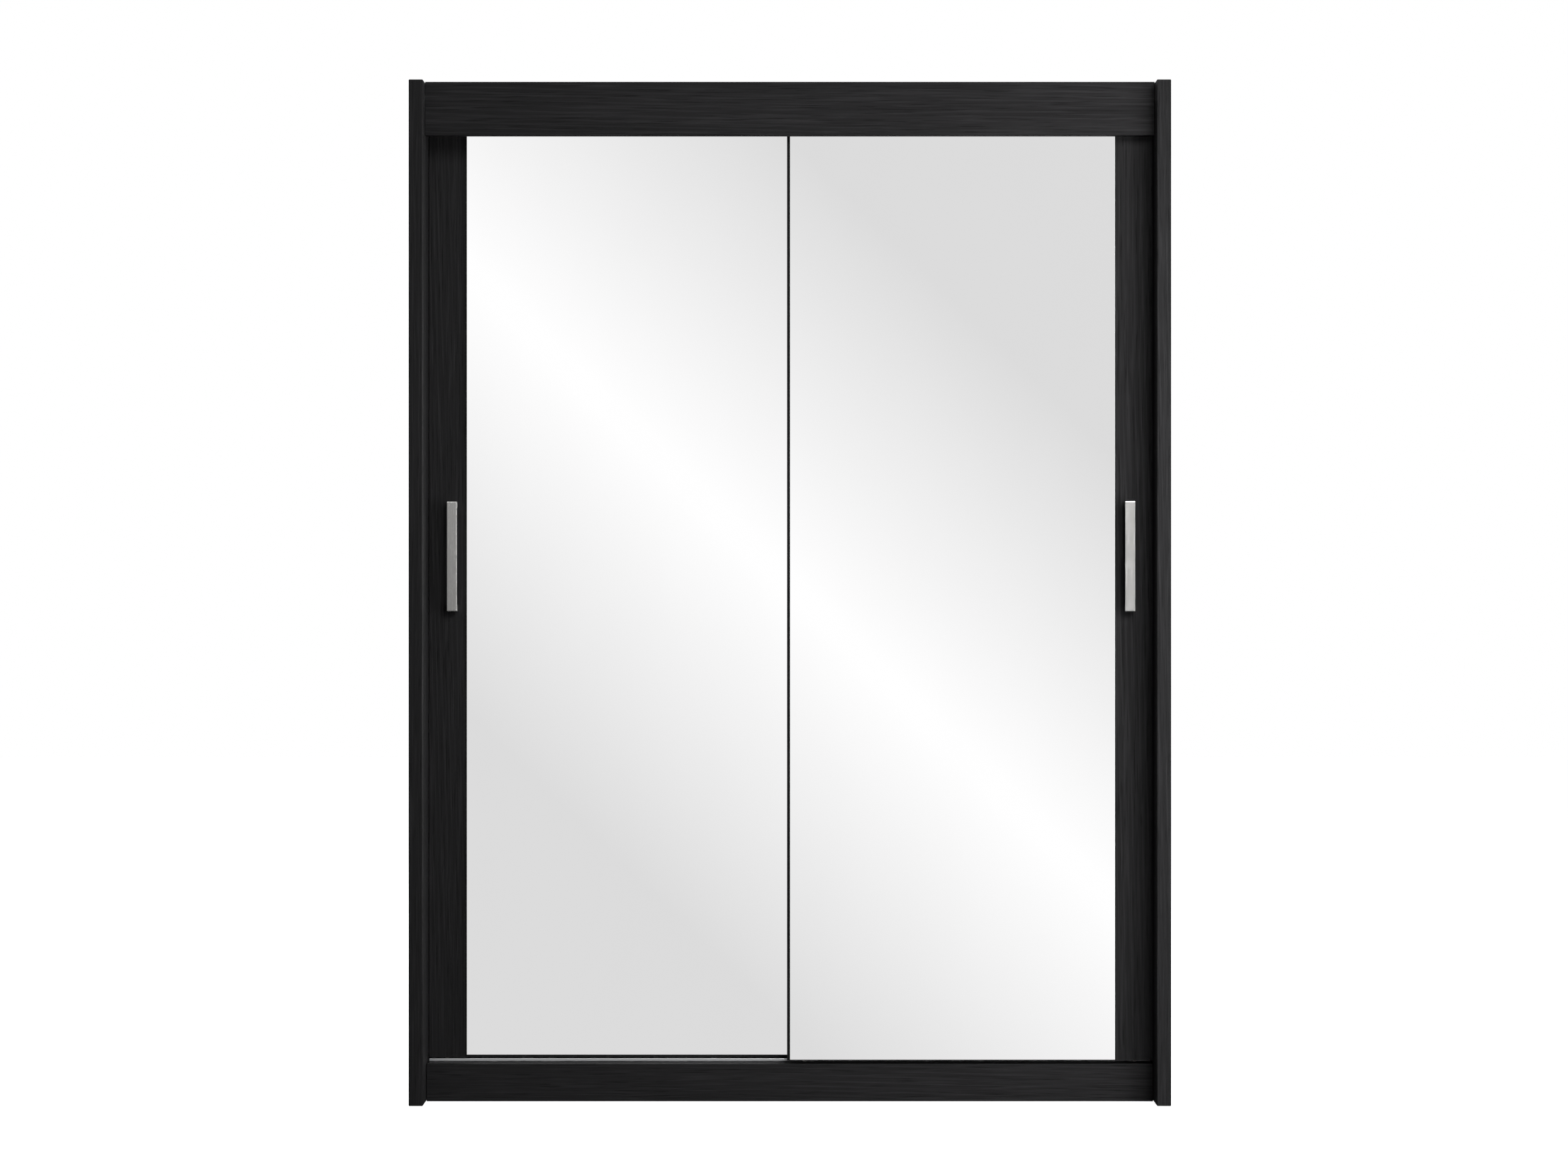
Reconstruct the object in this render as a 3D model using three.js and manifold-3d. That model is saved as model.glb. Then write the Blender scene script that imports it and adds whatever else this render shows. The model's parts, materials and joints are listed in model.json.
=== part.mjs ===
// Sliding door wardrobe: a carcass of laminated boards, two mirror doors on grooved rollers, bar handles,
// shelves and a hanging rail. Millimetres. X runs across the front, +Y points to the back, +Z is up.
// The origin is on the floor under the middle of the carcass.
import * as THREE from 'three';
import { mergeVertices } from 'three/addons/utils/BufferGeometryUtils.js';
import Module from 'manifold-3d';

const wasm = await Module();
wasm.setup();

// ---- Driving dimensions ---------------------------------------------------------------------------

const WIDTH = 1500;
const HEIGHT = 2020;
const DEPTH = 600;
const SIDE = 28; // thickness of the side panels
const BOARD = 16; // thickness of every other board
const FIT = 0.25; // clearance between two pieces that meet

// Distances called a set are measured from the front edges of the side panels towards the back.
const HEADER_SET = 30;
const HEADER_HIGH = 106;
const PLINTH_SET = 56;
const PLINTH_HIGH = 74.5;
const FASCIA_GAP = 1; // header and plinth stop this short of each side panel
const REBATE_WIDE = 10; // rebate for the back panels in the side panels' rear edges
const BACK = 3; // thickness of the back panels
const BACK_EDGE = 1; // the back panels stay this far inside the carcass outline
const REAR_PLINTH_SET = 540;

const DIVIDER_SET = 140;
const SHELF_SET = 150;
const SHELF_REAR = 590;
const HAT_SHELF_TOP = 1716;
const STORAGE_SHELVES = 4;

const DOOR_WIDE = 726;
const DOOR_HIGH = 1904;
const DOOR_FLOOR = 81.5; // bottom edge of both door panels
const DOOR_LAP = 5.5; // each door passes the middle by this much
const MIRROR = 4; // thickness of the mirrors
const MIRROR_WIDE = 645;
const FRONT_MIRROR_SET = 50;
const REAR_MIRROR_SET = 91;
const FRONT_MIRROR_LIFT = 2; // bottom edge of the mirror above the bottom edge of its panel
const REAR_MIRROR_LIFT = 5.75;
const MIRROR_TOP_MARGIN = 5;
const TRAVEL = 700; // slide of each door; the stops in the top track set it

const HANDLE_WIDE = 19;
const HANDLE_LONG = 220;
const HANDLE_PROUD = 22;
const HANDLE_BAR = 9; // thickness of the grip bar
const HANDLE_LEG = 12; // thickness of each leg
const HANDLE_MIDDLE = 1082; // height of the handle's middle above the floor
const HANDLE_OFFSET = 673; // from the middle of the wardrobe to the handle
const SCREW = 1.9; // radius of a handle screw
const SCREW_HEAD = 4;

const RIB_OFFSET = 7.75; // from a door panel's back to the rib and channel that guide it
const RIB = 2; // thickness of a rib
const RIB_TOP = 82;
const TRACK_FLOOR = 1.5; // thickness of the bottom track's base
const TRACK_HALF = 718;
const ROLLER = 13; // radius of the roller's flanges
const ROLLER_TREAD = 7.5; // radius at the bottom of its groove
const ROLLER_WIDE = 8;
const ROLLER_INSET = 34; // from the door's edge to the roller's axis
const AXLE = 2;
const BUSH = 4;

const GUIDE_INSET = 60; // from the door's edge to the middle of a top guide
const GUIDE_LONG = 36;
const CHANNEL_HALF = 6.25; // half the clear width of a channel in the top track
const FIN = 1.5; // thickness of the fins that form the channels
const FIN_FOOT = 1987; // lower edge of the fins

const RAIL_HIGH = 30; // oval hanging rail
const RAIL_DEEP = 15;
const RAIL_WALL = 1.25;
const RAIL_MIDDLE = 1640;
const RAIL_SET = 370;

// ---- Derived places -------------------------------------------------------------------------------

const INNER = WIDTH / 2 - SIDE; // inner faces of the side panels
const ROOF = HEIGHT - BOARD; // underside of the top board
const FRONT_PANEL_SET = FRONT_MIRROR_SET + MIRROR + FIT;
const REAR_PANEL_SET = REAR_MIRROR_SET + MIRROR + FIT;
const FRONT_RIB_SET = FRONT_PANEL_SET + BOARD + RIB_OFFSET;
const REAR_RIB_SET = REAR_PANEL_SET + BOARD + RIB_OFFSET;
const ROLLER_AXIS = RIB_TOP + FIT + ROLLER_TREAD;
const TRACK_REAR = REAR_RIB_SET + 8;
const TRACK_SEAT = PLINTH_HIGH - TRACK_FLOOR - FIT; // floor of the rebate for the bottom track

/** Y of a plane at a set. */
const at = (set) => set - DEPTH / 2;

// ---- Finishes -------------------------------------------------------------------------------------

const FINISHES = {
  laminate: { color: 0x262627, roughness: 0.5, metalness: 0 },
  hardboard: { color: 0x6b5540, roughness: 0.85, metalness: 0 },
  mirror: { color: 0xf0f2f2, roughness: 0.02, metalness: 1 },
  handle: { color: 0xb4b2ae, roughness: 0.32, metalness: 1 },
  aluminium: { color: 0xb9bbbd, roughness: 0.3, metalness: 1 },
  steel: { color: 0x9c9ea0, roughness: 0.35, metalness: 1 },
  nylon: { color: 0x2a2b2d, roughness: 0.55, metalness: 0 },
  roller: { color: 0xe4e2dc, roughness: 0.45, metalness: 0 },
};

function piece(name, finish, geometry, x = 0, y = 0, z = 0) {
  const mesh = new THREE.Mesh(geometry, new THREE.MeshStandardMaterial(FINISHES[finish]));
  mesh.name = name;
  mesh.position.set(x, y, z);
  return mesh;
}

/** A square-cut board between two values of x, two sets and two heights. */
function board(name, finish, [x0, x1], [set0, set1], [z0, z1]) {
  const geometry = new THREE.BoxGeometry(x1 - x0, set1 - set0, z1 - z0);
  return piece(name, finish, geometry, (x0 + x1) / 2, at((set0 + set1) / 2), (z0 + z1) / 2);
}

// ---- Shape helpers --------------------------------------------------------------------------------

const ROUND = 20; // facets round screws, axles and bores

const X = new THREE.Vector3(1, 0, 0);
const Y = new THREE.Vector3(0, 1, 0);
const Z = new THREE.Vector3(0, 0, 1);

function extrude(shape, depth) {
  return new THREE.ExtrudeGeometry(shape, { depth, bevelEnabled: false, curveSegments: 4 });
}

/** A profile drawn as (y, z), extruded along X and centred on x = 0. */
function alongX(profile, length) {
  const turned = extrude(profile, length).applyMatrix4(new THREE.Matrix4().makeBasis(Y, Z, X));
  return turned.translate(-length / 2, 0, 0);
}

/** A profile drawn as (z, x), extruded along Y from y0 to y1. */
function alongY(profile, y0, y1) {
  const turned = extrude(profile, y1 - y0).applyMatrix4(new THREE.Matrix4().makeBasis(Z, X, Y));
  return turned.translate(0, y0, 0);
}

function polygon(points) {
  return new THREE.Shape(points.map(([a, b]) => new THREE.Vector2(a, b)));
}

function roundedRectangle(a0, b0, a1, b1, radius) {
  const shape = new THREE.Shape();
  shape.absarc(a0 + radius, b0 + radius, radius, Math.PI, 1.5 * Math.PI);
  shape.absarc(a1 - radius, b0 + radius, radius, 1.5 * Math.PI, 2 * Math.PI);
  shape.absarc(a1 - radius, b1 - radius, radius, 0, 0.5 * Math.PI);
  shape.absarc(a0 + radius, b1 - radius, radius, 0.5 * Math.PI, Math.PI);
  return shape;
}

/** A cylinder or cone along Y between y0 and y1, at x and z. */
function rod(x, z, y0, y1, radius0, radius1 = radius0) {
  const geometry = new THREE.CylinderGeometry(radius1, radius0, y1 - y0, ROUND);
  return geometry.translate(x, (y0 + y1) / 2, z);
}

function block(x0, y0, z0, x1, y1, z1) {
  const geometry = new THREE.BoxGeometry(x1 - x0, y1 - y0, z1 - z0);
  return geometry.translate((x0 + x1) / 2, (y0 + y1) / 2, (z0 + z1) / 2);
}

function toSolid(geometry) {
  const bare = geometry.clone();
  bare.deleteAttribute('normal');
  bare.deleteAttribute('uv');
  const merged = mergeVertices(bare);
  return new wasm.Manifold(new wasm.Mesh({
    numProp: 3,
    vertProperties: merged.attributes.position.array,
    triVerts: Uint32Array.from(merged.index.array),
  }));
}

function toGeometry(solid) {
  const mesh = solid.getMesh();
  const geometry = new THREE.BufferGeometry();
  geometry.setAttribute('position', new THREE.BufferAttribute(mesh.vertProperties, 3));
  geometry.setIndex(new THREE.BufferAttribute(mesh.triVerts, 1));
  geometry.computeVertexNormals();
  return geometry;
}

const cut = (geometry, ...tools) =>
  toGeometry(tools.reduce((solid, tool) => solid.subtract(toSolid(tool)), toSolid(geometry)));

const join = (geometry, ...others) =>
  toGeometry(others.reduce((solid, other) => solid.add(toSolid(other)), toSolid(geometry)));

const keepInside = (geometry, outline) => toGeometry(toSolid(geometry).intersect(toSolid(outline)));

// ---- Carcass --------------------------------------------------------------------------------------

/** side is -1 for the left panel and 1 for the right. */
function sidePanel(name, side) {
  const outer = side * WIDTH / 2;
  const inner = side * INNER;
  const shoulder = side * (INNER + REBATE_WIDE);
  const rebate = at(DEPTH - BACK - FIT);
  const outline = polygon([
    [outer, at(0)], [inner, at(0)], [inner, rebate],
    [shoulder, rebate], [shoulder, at(DEPTH)], [outer, at(DEPTH)],
  ]);
  return piece(name, 'laminate', extrude(outline, HEIGHT));
}

function backPanel(name, side) {
  const xs = [side * FIT, side * (INNER + REBATE_WIDE - FIT)].sort((a, b) => a - b);
  const heights = [PLINTH_HIGH - BOARD + BACK_EDGE, HEIGHT - BACK_EDGE];
  return board(name, 'hardboard', xs, [DEPTH - BACK, DEPTH], heights);
}

/** Bottom board with a rebate along its front edge for the bottom track. */
function bottomBoard(front, rear) {
  const step = TRACK_REAR + FIT;
  const foot = PLINTH_HIGH - BOARD;
  const profile = polygon([
    [at(front), foot], [at(rear), foot], [at(rear), PLINTH_HIGH],
    [at(step), PLINTH_HIGH], [at(step), TRACK_SEAT], [at(front), TRACK_SEAT],
  ]);
  return piece('bottom_board', 'laminate', alongX(profile, 2 * (INNER - FIT)));
}

function carcass() {
  const group = new THREE.Group();
  const across = [-INNER + FIT, INNER - FIT];
  const fascia = [-INNER + FASCIA_GAP, INNER - FASCIA_GAP];
  const rear = DEPTH - BACK - FIT;
  const middle = [-BOARD / 2, BOARD / 2];
  const floorTop = PLINTH_HIGH;
  const underFloor = [0, floorTop - BOARD - FIT];
  const headerBack = HEADER_SET + BOARD;
  const plinthBack = PLINTH_SET + BOARD;

  group.add(
    sidePanel('left_side_panel', -1),
    sidePanel('right_side_panel', 1),
    board('top_board', 'laminate', across, [headerBack + FIT, rear], [ROOF, HEIGHT]),
    bottomBoard(plinthBack + FIT, rear),
    board('centre_divider', 'laminate', middle, [DIVIDER_SET, rear], [floorTop + FIT, ROOF - FIT]),
    board('header_fascia', 'laminate', fascia, [HEADER_SET, headerBack], [HEIGHT - HEADER_HIGH, HEIGHT]),
    board('front_plinth', 'laminate', fascia, [PLINTH_SET, plinthBack], [0, PLINTH_HIGH]),
    board('rear_plinth', 'laminate', across, [REAR_PLINTH_SET, REAR_PLINTH_SET + BOARD], underFloor),
    board('plinth_support', 'laminate', middle, [plinthBack + FIT, REAR_PLINTH_SET - FIT], underFloor),
    backPanel('back_panel_left', -1),
    backPanel('back_panel_right', 1),
  );
  return group;
}

// ---- Shelves and hanging rail ---------------------------------------------------------------------

function shelf(name, side, top) {
  const xs = [side * (BOARD / 2 + FIT), side * (INNER - FIT)].sort((a, b) => a - b);
  return board(name, 'laminate', xs, [SHELF_SET, SHELF_REAR], [top - BOARD, top]);
}

function oval(deep, high) {
  return roundedRectangle(-deep / 2, -high / 2, deep / 2, high / 2, deep / 2 - 0.01);
}

/** Cup that holds one end of the rail; its back lies on x = 0 and it opens towards +X and upwards. */
function railBracket(name, x, turn) {
  const plate = 3;
  const reach = 14;
  const wall = 2.5;
  const slack = 0.5;
  const cup = oval(RAIL_DEEP + 2 * (slack + wall), RAIL_HIGH + 2 * (slack + wall));
  const hollow = oval(RAIL_DEEP + 2 * slack, RAIL_HIGH + 2 * slack);
  const foot = roundedRectangle(-15, -26, 15, 26, 6);
  const high = RAIL_HIGH;
  const body = join(
    alongX(foot, plate).translate(plate / 2, 0, 0),
    alongX(cup, reach).translate(reach / 2, 0, 0),
  );
  const geometry = cut(
    body,
    alongX(hollow, reach).translate(plate + reach / 2, 0, 0),
    block(plate, -high, RAIL_HIGH / 4, reach + 1, high, high),
  );
  const bracket = piece(name, 'steel', geometry, x, at(RAIL_SET), RAIL_MIDDLE);
  bracket.rotation.z = turn;
  return bracket;
}

function hangingRail() {
  const plate = 3;
  const left = -INNER + plate + 2 * FIT;
  const right = -BOARD / 2 - plate - 2 * FIT;
  const tube = oval(RAIL_DEEP, RAIL_HIGH);
  tube.holes.push(oval(RAIL_DEEP - 2 * RAIL_WALL, RAIL_HIGH - 2 * RAIL_WALL));
  const geometry = alongX(tube, right - left);
  return piece('hanging_rail', 'steel', geometry, (left + right) / 2, at(RAIL_SET), RAIL_MIDDLE);
}

function fittings() {
  const group = new THREE.Group();
  group.add(
    shelf('hat_shelf', -1, HAT_SHELF_TOP),
    hangingRail(),
    railBracket('rail_bracket_left', -INNER + FIT, 0),
    railBracket('rail_bracket_right', -BOARD / 2 - FIT, Math.PI),
  );
  const step = (HAT_SHELF_TOP - PLINTH_HIGH) / STORAGE_SHELVES;
  for (let i = 1; i <= STORAGE_SHELVES; i += 1) {
    group.add(shelf(`storage_shelf_${i}`, 1, PLINTH_HIGH + i * step));
  }
  return group;
}

// ---- Tracks ---------------------------------------------------------------------------------------

/** Flat base, flush with the bottom board, with one round-topped rib for each door. */
function bottomTrack() {
  const foot = TRACK_SEAT + FIT;
  const base = PLINTH_HIGH;
  const front = PLINTH_SET + BOARD + 1;
  const rear = TRACK_REAR;
  const half = RIB / 2;
  const profile = new THREE.Shape();
  profile.moveTo(at(front), foot);
  profile.lineTo(at(rear), foot);
  profile.lineTo(at(rear), base);
  for (const set of [REAR_RIB_SET, FRONT_RIB_SET]) {
    profile.lineTo(at(set) + half, base);
    profile.absarc(at(set), RIB_TOP - half, half, 0, Math.PI);
    profile.lineTo(at(set) - half, base);
  }
  profile.lineTo(at(front), base);
  return piece('bottom_track', 'aluminium', alongX(profile, 2 * TRACK_HALF));
}

/** Plate under the top board with a pair of fins on each side of each door's guides. */
function topTrack() {
  const plate = 2;
  const lip = 2;
  const top = ROOF - FIT;
  const under = top - plate;
  const outer = CHANNEL_HALF + FIN;
  const points = [[FRONT_RIB_SET - outer - lip, top], [FRONT_RIB_SET - outer - lip, under]];
  for (const set of [FRONT_RIB_SET, REAR_RIB_SET]) {
    for (const [near, far] of [[-outer, -CHANNEL_HALF], [CHANNEL_HALF, outer]]) {
      points.push([set + near, under], [set + near, FIN_FOOT], [set + far, FIN_FOOT], [set + far, under]);
    }
  }
  points.push([REAR_RIB_SET + outer + lip, under], [REAR_RIB_SET + outer + lip, top]);
  const profile = polygon(points.map(([set, z]) => [at(set), z]));
  return piece('top_track', 'aluminium', alongX(profile, 2 * (INNER - FASCIA_GAP)));
}

/** Nylon block in a channel of the top track; it meets a guide at the end of the door's travel. */
function trackStop(name, set, x) {
  const long = 16;
  const half = CHANNEL_HALF - FIT;
  const outline = roundedRectangle(-half, FIN_FOOT + 1, half, ROOF - 2 - 2 * FIT, 1.5);
  return piece(name, 'nylon', alongX(outline, long), x, at(set));
}

function tracks() {
  const group = new THREE.Group();
  const slack = 0.5;
  const reach = GUIDE_LONG / 2 + slack + 8;
  const outerGuide = DOOR_WIDE - DOOR_LAP - GUIDE_INSET;
  const innerGuide = TRAVEL + DOOR_LAP - GUIDE_INSET;
  group.add(
    bottomTrack(),
    topTrack(),
    trackStop('rear_track_closed_stop', REAR_RIB_SET, -outerGuide - reach),
    trackStop('rear_track_open_stop', REAR_RIB_SET, innerGuide + reach),
    trackStop('front_track_closed_stop', FRONT_RIB_SET, outerGuide + reach),
    trackStop('front_track_open_stop', FRONT_RIB_SET, -innerGuide - reach),
  );
  return group;
}

// ---- Doors ----------------------------------------------------------------------------------------
// A door's group has its origin at the middle of the panel's bottom edge, on the panel's front face.

const SCREW_SPACING = HANDLE_LONG - HANDLE_LEG;
const SINK_DEEP = 2.75; // depth of the countersinks in the panel's back
const SCREW_TIP = -11; // y of the screw's tip, inside the handle's leg

function doorPanel(name, handleX, handleZ) {
  const bore = SCREW + 0.35;
  const sink = SCREW_HEAD + 0.35;
  const panel = block(-DOOR_WIDE / 2, 0, 0, DOOR_WIDE / 2, BOARD, DOOR_HIGH);
  const holes = [-1, 1].flatMap((end) => {
    const z = handleZ + end * SCREW_SPACING / 2;
    return [
      rod(handleX, z, -1, BOARD + 1, bore),
      rod(handleX, z, BOARD - SINK_DEEP, BOARD + 0.01, bore, sink),
    ];
  });
  return piece(name, 'laminate', cut(panel, ...holes));
}

function doorMirror(name, x, lift) {
  const high = DOOR_HIGH - lift - MIRROR_TOP_MARGIN;
  const glass = new THREE.BoxGeometry(MIRROR_WIDE, MIRROR, high);
  return piece(name, 'mirror', glass, x, -FIT - MIRROR / 2, lift + high / 2);
}

/** Flat bar on two legs, cut from one block: side profile first, then the rounded front outline. */
function handle(name, x, z) {
  const end = HANDLE_LONG / 2;
  const side = roundedRectangle(-HANDLE_PROUD, -end, 10, end, 2.5);
  const gap = roundedRectangle(-HANDLE_PROUD + HANDLE_BAR, -end + HANDLE_LEG, 20, end - HANDLE_LEG, 4);
  const front = roundedRectangle(-end, -HANDLE_WIDE / 2, end, HANDLE_WIDE / 2, 2.5);
  const bar = cut(alongX(side, HANDLE_WIDE), alongX(gap, HANDLE_WIDE + 2));
  const bored = cut(
    bar,
    block(-HANDLE_WIDE, -FIT, -end - 1, HANDLE_WIDE, 20, end + 1),
    rod(0, -SCREW_SPACING / 2, SCREW_TIP - 1, 1, SCREW + 0.25),
    rod(0, SCREW_SPACING / 2, SCREW_TIP - 1, 1, SCREW + 0.25),
  );
  return piece(name, 'handle', keepInside(bored, alongY(front, -HANDLE_PROUD - 1, 1)), x, 0, z);
}

/** Countersunk screw with a cross recess, put in from the panel's back. */
function handleScrew(name, x, z) {
  const face = BOARD - FIT;
  const head = SCREW_HEAD - SCREW;
  const profile = [[0, SCREW_TIP], [SCREW, SCREW_TIP], [SCREW, face - head], [SCREW_HEAD, face], [0, face]];
  const turned = new THREE.LatheGeometry(profile.map(([r, y]) => new THREE.Vector2(r, y)), ROUND);
  const geometry = cut(
    turned,
    block(-2.4, face - 1.2, -0.5, 2.4, face + 1, 0.5),
    block(-0.5, face - 1.2, -2.4, 0.5, face + 1, 2.4),
  );
  return piece(name, 'steel', geometry, x, 0, z);
}

const CHEEK = 2.5; // thickness of the housing's cheeks
const CHEEK_GAP = ROLLER_WIDE / 2 + 1; // from the rib's middle plane to a cheek
const ROLLER_Z = ROLLER_AXIS - DOOR_FLOOR; // axle height in the door's group

/** Inverted U over the roller, fixed to the panel's back. */
function rollerHousing(name, x) {
  const long = 44;
  const foot = -5;
  const web = ROLLER + 2;
  const top = 34;
  const near = FIT;
  const far = RIB_OFFSET + CHEEK_GAP + CHEEK;
  const profile = polygon([
    [near, foot], [near, top], [far, top], [far, foot],
    [far - CHEEK, foot], [far - CHEEK, web], [near + CHEEK, web], [near + CHEEK, foot],
  ]);
  const outline = roundedRectangle(foot, -long / 2, top, long / 2, 4);
  const rounded = keepInside(alongX(profile, long), alongY(outline, -1, far + 1));
  const geometry = cut(rounded, rod(0, 0, -1, far + 1, AXLE + FIT));
  return piece(name, 'nylon', geometry, x, BOARD, ROLLER_Z);
}

/** A turned piece about Y at the roller's axis; the profile is (radius, y from the rib's middle plane). */
function turnedAtRoller(name, finish, profile, x, segments) {
  const points = profile.map(([r, y]) => new THREE.Vector2(r, y));
  return piece(name, finish, new THREE.LatheGeometry(points, segments), x, BOARD + RIB_OFFSET, ROLLER_Z);
}

function rollerAxle(name, x) {
  const start = -RIB_OFFSET + 2 * FIT;
  const cheekFace = CHEEK_GAP + CHEEK + FIT;
  const headFace = cheekFace + 1.25;
  const profile = [
    [0, start], [AXLE, start], [AXLE, cheekFace], [3.5, cheekFace], [3, headFace], [0, headFace],
  ];
  return turnedAtRoller(name, 'steel', profile, x, ROUND);
}

function rollerBush(name, x) {
  const half = ROLLER_WIDE / 2 + 0.5;
  const bore = AXLE + FIT;
  const profile = [[bore, -half], [BUSH, -half], [BUSH, half], [bore, half], [bore, -half]];
  return turnedAtRoller(name, 'steel', profile, x, ROUND);
}

function roller(name, x) {
  const half = ROLLER_WIDE / 2;
  const bore = BUSH + FIT;
  const profile = [
    [bore, -half], [ROLLER - 0.5, -half], [ROLLER, -half + 0.5],
    [ROLLER, -2.75], [ROLLER_TREAD, -1.5], [ROLLER_TREAD, 1.5], [ROLLER, 2.75],
    [ROLLER, half - 0.5], [ROLLER - 0.5, half], [bore, half], [bore, -half],
  ];
  return turnedAtRoller(name, 'roller', profile, x, 2 * ROUND);
}

/** Nylon block behind the panel's top edge, with a tongue that runs in its channel of the top track. */
function topGuide(name, x) {
  const tongue = 5;
  const top = 13;
  const shoulder = -2;
  const foot = -40;
  const near = FIT;
  const far = RIB_OFFSET + 6.5;
  const profile = polygon([
    [near, foot], [far, foot], [far, shoulder], [RIB_OFFSET + tongue, shoulder], [RIB_OFFSET + tongue, top],
    [RIB_OFFSET - tongue, top], [RIB_OFFSET - tongue, shoulder], [near, shoulder],
  ]);
  const outline = roundedRectangle(foot, -GUIDE_LONG / 2, top, GUIDE_LONG / 2, 3);
  const geometry = keepInside(alongX(profile, GUIDE_LONG), alongY(outline, -1, far + 1));
  return piece(name, 'nylon', geometry, x, BOARD, DOOR_HIGH);
}

/** side is -1 for the left, rear door and 1 for the right, front door. */
function door(prefix, side, panelSet, lift) {
  const group = new THREE.Group();
  const middle = side * (DOOR_WIDE / 2 - DOOR_LAP);
  const handleX = side * HANDLE_OFFSET - middle;
  const handleZ = HANDLE_MIDDLE - DOOR_FLOOR;
  const mirrorX = side * MIRROR_WIDE / 2 - middle;
  group.position.set(middle, at(panelSet), DOOR_FLOOR);
  group.add(
    doorPanel(`${prefix}_panel`, handleX, handleZ),
    doorMirror(`${prefix}_mirror`, mirrorX, lift),
    handle(`${prefix}_handle`, handleX, handleZ),
    handleScrew(`${prefix}_handle_screw_upper`, handleX, handleZ + SCREW_SPACING / 2),
    handleScrew(`${prefix}_handle_screw_lower`, handleX, handleZ - SCREW_SPACING / 2),
  );
  for (const [end, sign] of [['left', -1], ['right', 1]]) {
    const rollerX = sign * (DOOR_WIDE / 2 - ROLLER_INSET);
    group.add(
      rollerHousing(`${prefix}_roller_housing_${end}`, rollerX),
      rollerAxle(`${prefix}_roller_axle_${end}`, rollerX),
      rollerBush(`${prefix}_roller_bush_${end}`, rollerX),
      roller(`${prefix}_roller_${end}`, rollerX),
      topGuide(`${prefix}_top_guide_${end}`, sign * (DOOR_WIDE / 2 - GUIDE_INSET)),
    );
  }
  return group;
}

const wardrobe = new THREE.Group();
wardrobe.add(
  carcass(),
  fittings(),
  tracks(),
  door('rear_door', -1, REAR_PANEL_SET, REAR_MIRROR_LIFT),
  door('front_door', 1, FRONT_PANEL_SET, FRONT_MIRROR_LIFT),
);

export default wardrobe;
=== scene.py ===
import json
import math
import random

import bmesh
import bpy
from mathutils import Matrix, Vector
from mathutils.geometry import tessellate_polygon


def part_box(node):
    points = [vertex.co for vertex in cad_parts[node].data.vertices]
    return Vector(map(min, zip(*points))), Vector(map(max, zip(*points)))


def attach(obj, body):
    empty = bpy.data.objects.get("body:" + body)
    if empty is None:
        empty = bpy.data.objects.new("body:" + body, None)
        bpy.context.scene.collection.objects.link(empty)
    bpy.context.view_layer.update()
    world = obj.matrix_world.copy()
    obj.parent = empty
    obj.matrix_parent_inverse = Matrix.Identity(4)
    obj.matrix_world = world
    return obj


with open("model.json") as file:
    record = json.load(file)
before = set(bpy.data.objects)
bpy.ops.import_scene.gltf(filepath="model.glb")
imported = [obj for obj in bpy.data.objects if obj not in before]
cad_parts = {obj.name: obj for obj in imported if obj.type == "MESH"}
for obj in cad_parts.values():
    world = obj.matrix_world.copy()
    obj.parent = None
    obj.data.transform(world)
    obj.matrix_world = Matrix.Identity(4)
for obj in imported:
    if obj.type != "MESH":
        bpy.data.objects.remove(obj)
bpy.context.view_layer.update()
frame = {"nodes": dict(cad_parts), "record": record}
scene = bpy.context.scene
nodes = frame["nodes"]
SLOTS = {part["node"]: part["material_slot"] for part in frame["record"]["subparts"]}
MM = 0.001


# ---- Camera ------------------------------------------------------------------------------------

CAMERA_AT = (-0.0116, -6.3, 1.0203)
LENS = 70.05
SENSOR_WIDTH = 36
FAR_CLIP = 60


def make_camera():
    data = bpy.data.cameras.new("camera")
    data.lens = LENS
    data.sensor_width = SENSOR_WIDTH
    data.clip_end = FAR_CLIP
    camera = bpy.data.objects.new("camera", data)
    camera.location = CAMERA_AT
    camera.rotation_euler = (math.radians(90), 0, 0)
    scene.collection.objects.link(camera)
    scene.camera = camera


# ---- Node graphs -------------------------------------------------------------------------------

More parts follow.
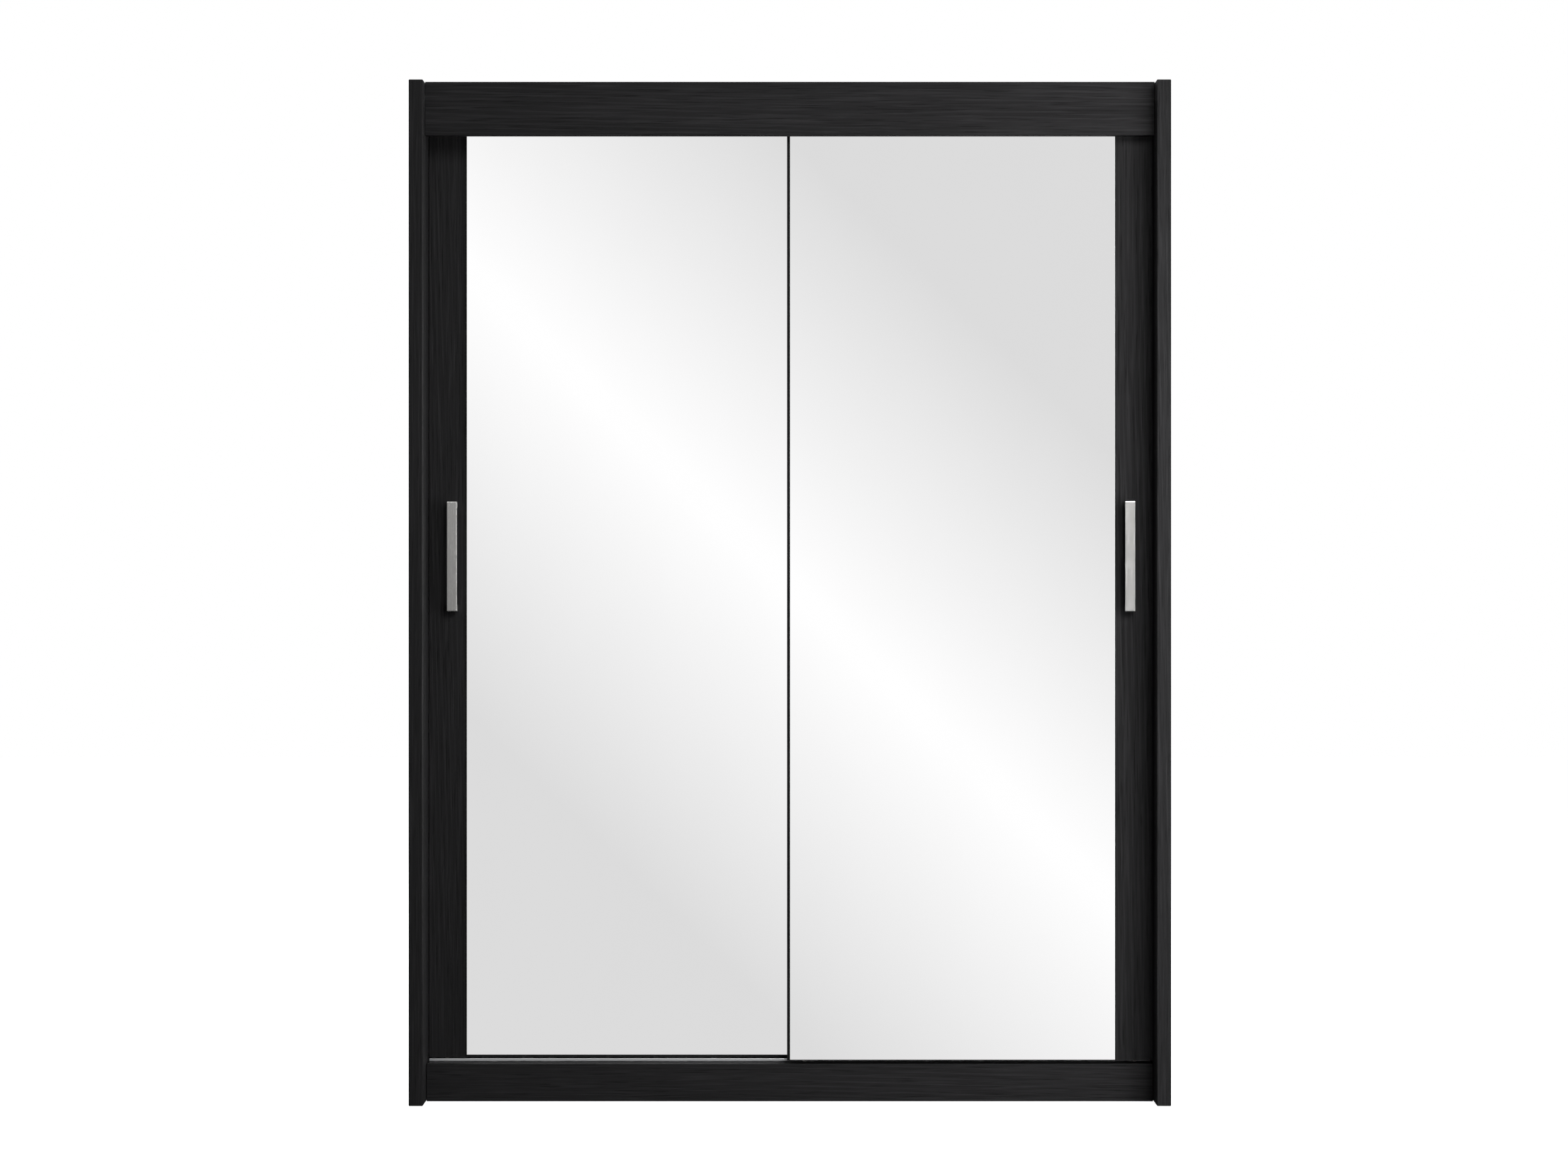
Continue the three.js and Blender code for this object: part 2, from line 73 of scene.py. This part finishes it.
class Graph:
    """The node tree of a material or of the world, built one node at a time."""

    def __init__(self, name, world=False):
        self.owner = bpy.data.worlds.new(name) if world else bpy.data.materials.new(name)
        self.owner.use_nodes = True
        self.tree = self.owner.node_tree
        self.shader = self.tree.nodes["Background" if world else "Principled BSDF"]

    def feed(self, socket, value):
        """Links a socket to the output of a node, or gives it a value."""
        if isinstance(value, bpy.types.NodeSocket):
            self.tree.links.new(value, socket)
        else:
            socket.default_value = value

    def set(self, **values):
        """Feeds the shader's sockets by name, with _ for a space."""
        for name, value in values.items():
            self.feed(self.shader.inputs[name.replace("_", " ")], value)

    def node(self, kind, inputs=(), **settings):
        node = self.tree.nodes.new("ShaderNode" + kind)
        for name, value in settings.items():
            setattr(node, name, value)
        for key, value in dict(inputs).items():
            self.feed(node.inputs[key], value)
        return node

    def place(self, scale=(1, 1, 1), shift=(0, 0, 0)):
        """Object coordinates in metres, scaled and shifted."""
        here = self.node("TexCoord").outputs["Object"]
        return self.node("Mapping", {"Vector": here, "Scale": scale, "Location": shift}).outputs[0]

    def noise(self, vector, detail=2, roughness=0.5, distortion=0.0):
        inputs = {"Vector": vector, "Scale": 1, "Detail": detail, "Roughness": roughness,
                  "Distortion": distortion}
        return self.node("TexNoise", inputs).outputs["Fac"]

    def math(self, operation, a, b=0.0, clamp=False):
        return self.node("Math", {0: a, 1: b}, operation=operation, use_clamp=clamp).outputs[0]

    def total(self, start, *terms):
        """start, plus each term's value times its weight."""
        for value, weight in terms:
            start = self.math("ADD", start, self.math("MULTIPLY", value, weight))
        return start

    def span(self, value, low, high, to_low=0.0, to_high=1.0):
        """Maps low..high to to_low..to_high, clamped."""
        inputs = {"Value": value, "From Min": low, "From Max": high, "To Min": to_low, "To Max": to_high}
        return self.node("MapRange", inputs).outputs[0]

    def middle(self, noise, to_low=0.0, to_high=1.0):
        """Stretches the middle of a noise, where most of its values lie."""
        return self.span(noise, 0.3, 0.7, to_low, to_high)

    def pick(self, factor, a, b):
        """Blends two numbers: a where the factor is 0, b where it is 1."""
        return self.node("Mix", {0: factor, 2: a, 3: b}).outputs[0]

    def mix(self, factor, a, b):
        """Blends two colours: a where the factor is 0, b where it is 1."""
        node = self.node("Mix", {"Factor": factor}, data_type="RGBA")
        for socket, value in ((node.inputs[6], a), (node.inputs[7], b)):
            self.feed(socket, value if isinstance(value, bpy.types.NodeSocket) else (*value, 1))
        return node.outputs[2]

    def bump(self, height, depth, strength=1.0):
        return self.node("Bump", {"Height": height, "Distance": depth, "Strength": strength}).outputs[0]

    def normal(self):
        """The normal's parts along the object's X, Y and Z."""
        return self.node("SeparateXYZ", {0: self.node("TexCoord").outputs["Normal"]}).outputs

    def flatness(self):
        """1 on faces that lie square to an object axis, less on rounded edges."""
        x, y, z = (self.math("ABSOLUTE", part) for part in self.normal())
        return self.math("MAXIMUM", self.math("MAXIMUM", x, y), z)


# ---- Materials ---------------------------------------------------------------------------------
# Noise scales are features per metre. Bump depths are in metres. Colours are linear.

SQUARE = 0.97  # flatness above which a surface counts as a face
ROUNDED = 0.80  # flatness in the middle of a rounded edge


def grain_scale(axis, along, across):
    return tuple(along if letter == axis else across for letter in "XYZ")


def laminate(axis):
    """Black laminate with pressed ash grain that runs along one axis of the part."""
    g = Graph("laminate_" + axis.lower())

    def layer(along, across, shift=(0, 0, 0), **settings):
        return g.noise(g.place(grain_scale(axis, along, across), shift), **settings)

    sway = layer(1.3, 9, detail=1)
    rings = g.node("TexWave", {
        "Vector": g.place(grain_scale(axis, 1.8, 58)), "Scale": 1, "Distortion": 5, "Detail": 1,
        "Detail Scale": 0.35, "Detail Roughness": 0.5,
    }, wave_type="BANDS", bands_direction="DIAGONAL", wave_profile="SIN").outputs["Fac"]
    ridges = g.math("MULTIPLY", g.span(rings, 0.62, 1.0), g.span(sway, 0.42, 0.62))
    streaks = g.span(layer(8, 250, (5, 3, 7), detail=1), 0.50, 0.66)
    fibre = layer(5, 430, (3, 1, 2), roughness=0.6)
    pores = g.span(layer(14, 360, (7, 5, 9), detail=1), 0.58, 0.70)
    tone = layer(1.6, 34, (1, 8, 4))
    shade = g.math("ADD", g.span(fibre, 0.25, 0.75, -0.20, 0.20), g.middle(tone, -0.12, 0.12))
    shade = g.total(shade, (ridges, 0.30), (streaks, 0.34), (pores, -0.36))
    level = g.math("ADD", shade, 0.46, clamp=True)
    height = g.total(g.math("MULTIPLY", ridges, 0.5), (streaks, 0.5), (fibre, 0.6), (pores, -0.6))
    flat = g.flatness()
    matt = g.span(shade, -0.4, 0.6, 0.78, 0.64)
    g.set(
        Base_Color=g.mix(level, (0.0010, 0.0010, 0.0012), (0.0108, 0.0105, 0.0114)),
        Roughness=g.math("SUBTRACT", matt, g.span(flat, SQUARE, ROUNDED, 0.0, 0.42)),
        Normal=g.bump(height, 0.00028, g.span(flat, ROUNDED, SQUARE, 0.0, 0.8)),
        Specular_IOR_Level=0.18,
    )
    return g.owner


def mirror_glass():
    """Silvered glass: a clean face with faint wiping marks, a ground arris and a dark green cut edge."""
    g = Graph("mirror")
    facing = g.math("ABSOLUTE", g.normal()["Y"])
    face = g.math("GREATER_THAN", facing, SQUARE)
    edge = g.math("LESS_THAN", facing, 0.3)
    marks = g.noise(g.place((5, 5, 2.2)), detail=3, roughness=0.6, distortion=0.6)
    silver = g.mix(g.span(marks, 0.4, 0.8), (0.957, 0.955, 0.957), (0.950, 0.948, 0.950))
    ground = g.noise(g.place((900, 900, 900)))
    arris = g.mix(g.middle(ground), (0.20, 0.25, 0.23), (0.34, 0.39, 0.37))
    glass = g.mix(edge, arris, (0.030, 0.055, 0.046))
    g.set(
        Base_Color=g.mix(face, glass, silver),
        Metallic=face,
        Roughness=g.math("MULTIPLY", g.math("SUBTRACT", 1.0, face), g.middle(ground, 0.25, 0.45)),
    )
    return g.owner


def brushed_metal(name, colour, roughness, axis, depth=0.00002, streak=0.10, stretch=0.0):
    """Metal with fine parallel lines along one axis; stretch widens its highlights about the Z axis."""
    g = Graph(name)
    lines = g.noise(g.place(grain_scale(axis, 14, 2600)), detail=3, roughness=0.7)
    cloud = g.noise(g.place((22, 22, 22)))
    darker = tuple(c * (1 - streak) for c in colour)
    g.set(
        Base_Color=g.mix(g.middle(lines), darker, colour),
        Roughness=g.math("ADD", g.middle(lines, -0.02, 0.02),
                         g.middle(cloud, roughness - 0.008, roughness + 0.008)),
        Normal=g.bump(lines, depth),
        Metallic=1.0,
    )
    if stretch:
        g.set(Tangent=g.node("Tangent", direction_type="RADIAL", axis="Z").outputs[0],
              Anisotropic=stretch)
    return g.owner


def track_metal(top):
    """Aluminium ribs whose lower part and base are painted black as painted shade; top is the height of the
    ribs in metres.
    """
    g = Graph("track_aluminium")
    lines = g.noise(g.place((14, 2600, 2600)), detail=3, roughness=0.7)
    shade_line_wobble = g.noise(g.place((60, 900, 900)))
    height = g.node("SeparateXYZ", {0: g.place()}).outputs["Z"]
    # Painted shade: everything more than about 4 mm below the rib tops is black and not metal, and a noise
    # makes its edge wobble slightly.
    metal_above_painted_shade = g.span(g.math("ADD", height, g.middle(shade_line_wobble, -0.4 * MM, 0.4 * MM)),
                  top - 5.2 * MM, top - 3.6 * MM)
    metal = g.mix(g.middle(lines), (0.66, 0.67, 0.68), (0.80, 0.81, 0.82))
    g.set(
        # The black here is painted shade, not a coating of the track.
        Base_Color=g.mix(metal_above_painted_shade, (0.012, 0.012, 0.013), metal),
        Metallic=metal_above_painted_shade,
        Roughness=g.span(metal_above_painted_shade, 0, 1, 0.55, 0.32),
        Normal=g.bump(lines, 0.00002),
    )
    return g.owner


def zinc():
    """Zinc-plated steel with its cloudy crystals."""
    g = Graph("steel")
    cloud = g.noise(g.place((240, 240, 240)), detail=3, distortion=0.8)
    spots = g.node("TexVoronoi", {"Vector": g.place((420, 420, 420)), "Scale": 1}).outputs["Distance"]
    g.set(
        Base_Color=g.mix(g.middle(cloud), (0.43, 0.43, 0.44), (0.62, 0.62, 0.63)),
        Roughness=g.math("ADD", g.middle(cloud, 0.26, 0.40), g.span(spots, 0, 0.6, 0.0, 0.06)),
        Normal=g.bump(cloud, 0.00003),
        Metallic=1.0,
    )
    return g.owner


def moulded(name, dark, light, roughness):
    """Moulded plastic with a fine spark-eroded texture."""
    g = Graph(name)
    pits = g.noise(g.place((1800, 1800, 1800)))
    cloud = g.noise(g.place((30, 30, 30)))
    g.set(
        Base_Color=g.mix(g.middle(cloud), dark, light),
        Roughness=g.middle(pits, roughness - 0.06, roughness + 0.06),
        Normal=g.bump(pits, 0.00003),
    )
    return g.owner


def hardboard():
    """Fibreboard: black foil on the face that looks forward, raw brown fibres elsewhere."""
    g = Graph("hardboard")
    outside = g.math("GREATER_THAN", g.normal()["Y"], -0.5)
    wool = g.noise(g.place((260, 260, 190)), detail=5, roughness=0.7, distortion=1.2)
    flecks = g.span(g.noise(g.place((700, 700, 420), (4, 4, 4))), 0.60, 0.75)
    blotch = g.noise(g.place((5, 5, 4)))
    level = g.math("ADD", g.middle(wool, 0.0, 0.8), g.middle(blotch, 0.0, 0.16))
    raw = g.mix(level, (0.115, 0.066, 0.034), (0.235, 0.150, 0.085))
    raw = g.mix(g.math("MULTIPLY", flecks, 0.45), raw, (0.06, 0.034, 0.018))
    foil = g.noise(g.place((720, 40, 16)), detail=3, roughness=0.65)
    black = g.mix(g.middle(foil), (0.011, 0.011, 0.012), (0.028, 0.028, 0.029))
    g.set(
        Base_Color=g.mix(outside, black, raw),
        Roughness=g.span(outside, 0, 1, 0.5, 0.82),
        Normal=g.bump(g.math("MULTIPLY", wool, outside), 0.0003, 0.6),
        Specular_IOR_Level=0.3,
    )
    return g.owner


GRAIN = {axis: laminate(axis) for axis in "XZ"}
ZINC = zinc()
NYLON = moulded("black_nylon", (0.018, 0.018, 0.019), (0.030, 0.030, 0.031), 0.48)
BY_SLOT = {
    "mirror": mirror_glass(),
    "handle": brushed_metal("satin_nickel", (0.73, 0.722, 0.705), 0.26, "Z", depth=0.000008, stretch=0.8),
    "aluminium": brushed_metal("anodised_aluminium", (0.76, 0.77, 0.78), 0.30, "X", streak=0.14),
    "steel": ZINC,
    "nylon": NYLON,
    "roller": moulded("natural_nylon", (0.60, 0.59, 0.55), (0.72, 0.71, 0.67), 0.42),
    "hardboard": hardboard(),
}
TRACK_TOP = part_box("bottom_track")[1].z - nodes["bottom_track"].matrix_world.translation.z
BY_NAME = {
    "hanging_rail": brushed_metal("chromed_tube", (0.72, 0.73, 0.74), 0.14, "X", depth=0.000004, streak=0.05),
    "bottom_track": track_metal(TRACK_TOP),
}


# ---- CAD nodes ---------------------------------------------------------------------------------

STANDING = ("side_panel", "door_panel", "divider")  # boards whose grain runs upwards
BOARD_EDGE = 0.7 * MM
FINE_EDGE = 0.25 * MM
SIDE_EDGE = 1.6 * MM
TRACK_EDGE = 0.12 * MM
MIRROR_ARRIS = 0.4 * MM
WELD_DISTANCE = 0.01 * MM
FLAT_ANGLE = math.radians(1)  # faces closer than this are merged into one
EDGE_ANGLE = math.radians(32)  # edges sharper than this are rounded


def finish_of(name):
    """The material of a CAD node, by its name and its record slot."""
    if SLOTS[name] == "laminate":
        return GRAIN["Z" if any(word in name for word in STANDING) else "X"]
    if name in BY_NAME:
        return BY_NAME[name]
    return BY_SLOT[SLOTS[name]]


def soften(piece, width, segments=3):
    """Rounds the sharp edges of a piece without touching its mesh data."""
    weld = piece.modifiers.new("weld", "WELD")
    weld.merge_threshold = WELD_DISTANCE
    flat = piece.modifiers.new("flat", "DECIMATE")
    flat.decimate_type = "DISSOLVE"
    flat.angle_limit = FLAT_ANGLE
    bevel = piece.modifiers.new("bevel", "BEVEL")
    bevel.width = width
    bevel.segments = segments
    bevel.limit_method = "ANGLE"
    bevel.angle_limit = EDGE_ANGLE
    bevel.harden_normals = True
    bevel.miter_outer = "MITER_ARC"


def dress_nodes():
    for name, node in nodes.items():
        node.data.materials.clear()
        node.data.materials.append(finish_of(name))
        custom = node.data.attributes.get("custom_normal")
        if custom is not None:
            node.data.attributes.remove(custom)
        node.data.polygons.foreach_set("use_smooth", [True] * len(node.data.polygons))
        if SLOTS[name] == "mirror":
            soften(node, MIRROR_ARRIS, 1)
        elif name.endswith("side_panel"):
            soften(node, SIDE_EDGE)
        elif name == "bottom_track":
            soften(node, TRACK_EDGE)
        elif SLOTS[name] == "handle":
            soften(node, FINE_EDGE)
            even = node.modifiers.new("even", "WEIGHTED_NORMAL")  # no shading across the flat grip
            even.keep_sharp = True
        else:
            soften(node, BOARD_EDGE if SLOTS[name] == "laminate" else FINE_EDGE)
    nodes["header_fascia"].visible_glossy = False  # the mirrors show only the studio


# ---- Small fittings ----------------------------------------------------------------------------

SCREW_STEPS = 24
PAN_SIDE = ((0, 0), (1, 0), (1, 0.35), (0.92, 0.75))  # in head radii and in rises
SMOOTH_ANGLE = math.radians(35)
BACK = (0, 1, 0)
DOWN = (0, 0, -1)
UP = (0, 0, 1)


def in_mm(*profile):
    """A (radius, height) profile given in millimetres, in metres."""
    return [(radius * MM, height * MM) for radius, height in profile]


def turned(profile, segments=SCREW_STEPS):
    """Vertices and faces of a (radius, height) profile turned about +Z."""
    rings = []
    points = []
    faces = []
    for radius, height in profile:
        if radius < 1e-9:  # on the axis
            rings.append([len(points)])
            points.append((0.0, 0.0, height))
            continue
        rings.append(list(range(len(points), len(points) + segments)))
        for i in range(segments):
            turn = math.tau * i / segments
            points.append((radius * math.cos(turn), radius * math.sin(turn), height))
    for low, high in zip(rings, rings[1:]):
        for i in range(segments):
            j = (i + 1) % segments
            if len(low) == 1:
                faces.append((low[0], high[j], high[i]))
            elif len(high) == 1:
                faces.append((low[i], low[j], high[0]))
            else:
                faces.append((low[i], low[j], high[j], high[i]))
    return points, faces


def screw_head(radius, rise, countersunk=False):
    """A head on z = 0 that rises to z = rise, with a cross recess."""
    crown = (radius * 0.72, rise)
    if countersunk:
        sides = [(0, -0.5 * radius), (0.45 * radius, -0.5 * radius), (radius, 0), crown]
    else:
        sides = [(x * radius, z * rise) for x, z in PAN_SIDE] + [crown]
    points, faces = turned(sides)
    rim = list(range(len(points) - SCREW_STEPS, len(points)))
    arm, waist = 0.55 * radius, 0.13 * radius
    floor_size, floor_depth = 0.6, 0.45 * radius
    corners = []
    for quarter in range(4):
        turn = math.tau * quarter / 4
        for along, across in ((arm, -waist), (arm, waist), (waist, waist)):
            corners.append((along * math.cos(turn) - across * math.sin(turn),
                            along * math.sin(turn) + across * math.cos(turn)))
    count = len(corners)
    mouth = len(points)
    points += [(x, y, rise) for x, y in corners]
    points += [(floor_size * x, floor_size * y, rise - floor_depth) for x, y in corners]
    mouth_loop = [mouth + i for i in reversed(range(count))]
    outer = [Vector(points[i]) for i in rim]
    inner = [Vector(points[i]) for i in mouth_loop]
    names = rim + mouth_loop
    faces += [tuple(names[i] for i in triangle) for triangle in tessellate_polygon([outer, inner])]
    for i in range(count):
        j = (i + 1) % count
        faces.append((mouth + i, mouth + j, mouth + count + j, mouth + count + i))
    faces.append(tuple(mouth + count + i for i in range(count)))
    return points, faces


def aimed(at, direction, spin=0.0):
    """A placement at a point with its own +Z along a direction."""
    turn = Vector(direction).to_track_quat("Z", "Y").to_matrix().to_4x4()
    return Matrix.Translation(at) @ turn @ Matrix.Rotation(spin, 4, "Z")


def cluster(name, body, material, shape, placements):
    """One piece that holds a copy of a small shape at every placement."""
    points, faces = shape
    mesh = bpy.data.meshes.new(name)
    all_points = []
    all_faces = []
    for placement in placements:
        first = len(all_points)
        all_points += [tuple(placement @ Vector(point)) for point in points]
        all_faces += [tuple(first + i for i in face) for face in faces]
    mesh.from_pydata(all_points, [], all_faces)
    build = bmesh.new()
    build.from_mesh(mesh)
    bmesh.ops.recalc_face_normals(build, faces=build.faces)
    build.to_mesh(mesh)
    build.free()
    mesh.materials.append(material)
    mesh.shade_smooth()
    mesh.set_sharp_from_angle(angle=SMOOTH_ANGLE)
    piece = bpy.data.objects.new(name, mesh)
    scene.collection.objects.link(piece)
    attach(piece, body)


def spins(count, seed):
    """Screws are never left at the same angle."""
    draw = random.Random(seed)
    return [draw.uniform(0, math.tau) for _ in range(count)]


def spread(low, high, count):
    return [low + (high - low) * i / (count - 1) for i in range(count)]


HOUSING_SCREW_REACH = 14 * MM  # from the middle of a roller housing
HOUSING_SCREW_DROP = 8 * MM  # below its top
GUIDE_SCREW_RISES = (9 * MM, 27 * MM)  # above the foot of a top guide
SOCKET = in_mm((0, 0), (3.2, 0), (3.2, 1.2), (2.8, 1.6), (1.5, 1.6), (1.5, 0.5), (0, 0.5))


def door_screws(door):
    """The housing screws, guide screws and height adjusters of one door."""
    rollers = []
    guides = []
    adjusters = []
    for end in ("left", "right"):
        low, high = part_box(f"{door}_roller_housing_{end}")
        middle = (low.x + high.x) / 2
        for x in (middle - HOUSING_SCREW_REACH, middle + HOUSING_SCREW_REACH):
            rollers.append((x, high.y, high.z - HOUSING_SCREW_DROP))
        adjusters.append((middle, (low.y + high.y) / 2, high.z))
        low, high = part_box(f"{door}_top_guide_{end}")
        middle = (low.x + high.x) / 2
        for rise in GUIDE_SCREW_RISES:
            guides.append((middle, high.y, low.z + rise))
    pan = screw_head(3.4 * MM, 1.9 * MM)
    for name, places in ((f"{door}_roller_screws", rollers), (f"{door}_guide_screws", guides)):
        turns = spins(len(places), name)
        cluster(name, door, ZINC, pan, [aimed(p, BACK, t) for p, t in zip(places, turns)])
    socket = turned(SOCKET, 12)
    cluster(f"{door}_height_adjusters", door, ZINC, socket, [aimed(p, UP) for p in adjusters])


TRACK_SCREWS = 6  # in each track
TRACK_SCREW_INSET = 40 * MM  # from each end of the track
TOP_TRACK_PLATE = 2 * MM


def track_screws():
    flush = screw_head(3.6 * MM, 0.25 * MM, countersunk=True)
    turns = spins(TRACK_SCREWS, "bottom")
    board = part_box("bottom_board")[1].z
    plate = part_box("top_track")[1].z - TOP_TRACK_PLATE
    for track, height, way in (("bottom_track", board, UP), ("top_track", plate, DOWN)):
        low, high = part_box(track)
        row = spread(low.x + TRACK_SCREW_INSET, high.x - TRACK_SCREW_INSET, TRACK_SCREWS)
        middle = (low.y + high.y) / 2
        cluster(f"{track}_screws", "carcass", ZINC, flush,
                [aimed((x, middle, height), way, t) for x, t in zip(row, turns)])


BRACKET_PLATE = 3 * MM
BRACKET_SCREW_INSET = 6 * MM


def bracket_screws():
    pan = screw_head(3.6 * MM, 1.6 * MM)
    places = []
    for name, side in (("rail_bracket_left", 1), ("rail_bracket_right", -1)):
        low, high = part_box(name)
        wall = low.x if side > 0 else high.x
        for z in (low.z + BRACKET_SCREW_INSET, high.z - BRACKET_SCREW_INSET):
            places.append(((wall + side * BRACKET_PLATE, (low.y + high.y) / 2, z), (side, 0, 0)))
    turns = spins(len(places), "bracket")
    cluster("rail_bracket_screws", "carcass", ZINC, pan,
            [aimed(at, way, t) for (at, way), t in zip(places, turns)])


PIN = in_mm((0, 0), (2.5, 0), (2.5, 1.5), (3.6, 1.5), (3.6, 3), (2.5, 3), (2.5, 10), (2, 10.5), (0, 10.5))
PIN_INSET = 50 * MM  # from the front and rear edges of the shelf
PIN_DROP = 3.7 * MM  # from the shelf to the middle of the pin, which leaves its collar clear


def shelf_pins():
    """Two pins hold up each end of every shelf."""
    places = []
    for name in ("hat_shelf", "storage_shelf_1", "storage_shelf_2", "storage_shelf_3", "storage_shelf_4"):
        low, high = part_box(name)
        for y in (low.y + PIN_INSET, high.y - PIN_INSET):
            places.append(aimed((low.x, y, low.z - PIN_DROP), (1, 0, 0)))
            places.append(aimed((high.x, y, low.z - PIN_DROP), (-1, 0, 0)))
    cluster("shelf_pins", "carcass", ZINC, turned(PIN, 16), places)


CAP = in_mm((0, 0), (8.5, 0), (8.5, 0.6), (7.9, 1), (0, 1.1))
CAM_REACH = 34 * MM  # from the end of the board to its fastener
CAM_INSET = 60 * MM  # from the front and rear edges


def cam_covers():
    """Plastic caps over the cam fasteners under the top board."""
    low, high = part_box("top_board")
    divider_low, divider_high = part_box("centre_divider")
    columns = (low.x + CAM_REACH, divider_low.x - CAM_REACH, divider_high.x + CAM_REACH, high.x - CAM_REACH)
    rows = (divider_low.y + CAM_INSET, high.y - CAM_INSET)
    places = [aimed((x, y, low.z), DOWN) for x in columns for y in rows]
    cluster("cam_covers", "carcass", NYLON, turned(CAP, 32), places)


# ---- Stage -------------------------------------------------------------------------------------

WHITE = (1, 1, 1, 1)
CARD_Y = -8.0  # the card stands behind the camera
CARD_HALF = 14
BAND_TILT = 1.022  # metres the bright band shifts sideways for each metre it rises
BAND_CORE = 0.06  # half width of its white middle
BAND_FADE = 2.0  # width over which it fades to grey on each side
BAND_X = 0.026  # where it crosses the camera's height
CARD_GAIN = 1.045  # makes up for the light that the mirrors lose
MIRROR_WHITE = CARD_GAIN
MIRROR_GREY = 0.716 * CARD_GAIN
AMBIENT = 0.045
SKY_LOW, SKY_HIGH = 0.08, 0.62  # what soft reflections see low down and high up
FLOOR_HALF = 12
FLOOR_GREY = 0.30
FLOOR_GLOW = 0.96


def plane(name, corners):
    mesh = bpy.data.meshes.new(name)
    mesh.from_pydata(corners, [], [(0, 1, 2, 3)])
    thing = bpy.data.objects.new(name, mesh)
    scene.collection.objects.link(thing)
    return thing


def make_card():
    """A large card seen only in reflections: in the mirrors it is grey with one diagonal bright band."""
    half = CARD_HALF
    card = plane("reflection_card", [(-half, CARD_Y, -half), (half, CARD_Y, -half),
                                     (half, CARD_Y, half), (-half, CARD_Y, half)])
    g = Graph("card")
    here = g.node("SeparateXYZ", {0: g.node("TexCoord").outputs["Object"]}).outputs
    rise = g.math("SUBTRACT", here["Z"], CAMERA_AT[2])
    across = g.math("SUBTRACT", g.math("ADD", here["X"], g.math("MULTIPLY", rise, BAND_TILT)), BAND_X)
    band = g.span(g.math("ABSOLUTE", across), BAND_CORE, BAND_CORE + BAND_FADE, MIRROR_WHITE, MIRROR_GREY)
    soft = g.span(rise, -1.5, 2.5, SKY_LOW, SKY_HIGH)
    strength = g.pick(g.node("LightPath").outputs["Is Singular Ray"], soft, band)
    glow = g.node("Emission", {"Color": WHITE, "Strength": strength})
    g.tree.links.new(glow.outputs[0], g.tree.nodes["Material Output"].inputs["Surface"])
    card.data.materials.append(g.owner)
    card.visible_camera = False
    card.visible_diffuse = False
    card.visible_shadow = False
    card.visible_transmission = False


def make_floor():
    """White to the camera, with a faint contact shadow; dim to everything else."""
    half = FLOOR_HALF
    floor = plane("floor", [(-half, -half, 0), (half, -half, 0), (half, half, 0), (-half, half, 0)])
    g = Graph("floor")
    seen = g.node("LightPath").outputs["Is Camera Ray"]
    g.set(Base_Color=(FLOOR_GREY, FLOOR_GREY, FLOOR_GREY, 1), Roughness=0.9, Emission_Color=WHITE,
          Emission_Strength=g.math("MULTIPLY", seen, FLOOR_GLOW))
    floor.data.materials.append(g.owner)
    floor.visible_glossy = False


def make_world():
    """White to the camera, dim to matt surfaces, darker below in soft reflections, grey in the mirrors."""
    g = Graph("studio", world=True)
    path = g.node("LightPath").outputs
    rise = g.node("SeparateXYZ", {0: g.node("TexCoord").outputs["Generated"]}).outputs["Z"]
    sky = g.span(rise, -0.15, 0.35, SKY_LOW, SKY_HIGH)
    soft = g.pick(path["Is Glossy Ray"], AMBIENT, sky)
    sharp = g.pick(path["Is Singular Ray"], soft, MIRROR_GREY)
    g.set(Color=WHITE, Strength=g.pick(path["Is Camera Ray"], sharp, 1.0))
    scene.world = g.owner


# Name, place, aim, size, watts, beam in degrees, and whether reflections show it. The light over the
# wardrobe is not reflected, which keeps the header's top edge dark.
LIGHTS = (
    ("key", (2.1, -5.0, 4.0), (1.0, 0, 0.4), (2.4, 2.4), 80, 90, True),
    ("side", (1.9, -1.3, 1.1), (0.6, 0, 1.0), (0.9, 1.8), 52, 180, True),
    ("rear_left", (-2.8, 3.4, 2.2), (0, 0.2, 1.0), (2.0, 2.4), 150, 180, True),
    ("rear_right", (3.4, 2.4, 1.6), (0, 0.2, 1.0), (1.6, 2.4), 70, 180, True),
    ("over", (0, 3.0, 3.6), (0, 0.3, 2.0), (2.4, 1.2), 40, 180, False),
)


def make_lights():
    for name, at, aim, size, watts, beam, reflected in LIGHTS:
        data = bpy.data.lights.new(name, "AREA")
        data.shape = "RECTANGLE"
        data.size, data.size_y = size
        data.energy = watts
        data.spread = math.radians(beam)
        lamp = bpy.data.objects.new(name, data)
        lamp.location = at
        lamp.rotation_euler = (Vector(aim) - Vector(at)).to_track_quat("-Z", "Y").to_euler()
        lamp.visible_glossy = reflected
        scene.collection.objects.link(lamp)


# ---- Build -------------------------------------------------------------------------------------

make_camera()
make_world()
make_lights()
make_floor()
make_card()
dress_nodes()
for door in ("rear_door", "front_door"):
    door_screws(door)
track_screws()
bracket_screws()
shelf_pins()
cam_covers()
scene.view_settings.view_transform = "Standard"
